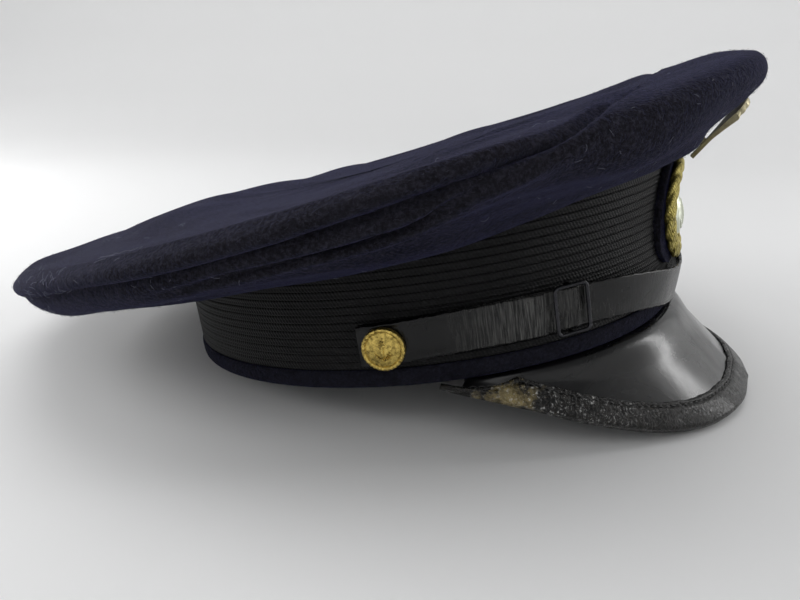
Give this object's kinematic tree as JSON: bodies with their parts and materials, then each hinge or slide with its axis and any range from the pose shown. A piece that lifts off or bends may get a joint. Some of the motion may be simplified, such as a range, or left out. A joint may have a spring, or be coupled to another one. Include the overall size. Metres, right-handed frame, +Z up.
{
  "type": "naval officer cap",
  "caption": "Peaked naval cap with a wide navy wool crown drooping over a ribbed black band, glossy black peak, chin strap with brass side buttons and wire slides, and a bullion front badge.",
  "frame": {"origin": "centre of the box round the whole cap, on the surface that it lies on", "axes": "+X forward over the peak, +Y to the wearer's left, +Z up; the lower edge of the band rises 9.7 degrees towards the front, because the cap lies on the rear of that edge and on the sides of its peak"},
  "size_m": [0.2905, 0.2508, 0.1189],
  "materials": {
    "navy_wool": "matte",
    "mohair": "matte ribbed",
    "patent_leather": "gloss",
    "edge_leather": "satin, cracked",
    "dark_wire": "gloss",
    "brass": "satin",
    "bullion": "embroidered thread",
    "silver": "satin",
    "tarnish": "tarnished"
  },
  "bodies": {
    "root": {"crown_top": "navy_wool", "crown_side_right": "navy_wool", "crown_side_left": "navy_wool", "band": "mohair", "rim_binding": "navy_wool", "peak": "patent_leather", "peak_binding": "edge_leather", "chin_strap": "patent_leather", "strap_end_right": "patent_leather", "strap_end_left": "patent_leather", "slide_right": "dark_wire", "slide_left": "dark_wire", "button_right": "brass", "button_left": "brass", "badge_backing": "navy_wool", "badge_ring": "bullion", "badge_boss": "silver", "badge_shell": "tarnish"}
  },
  "joints": []
}
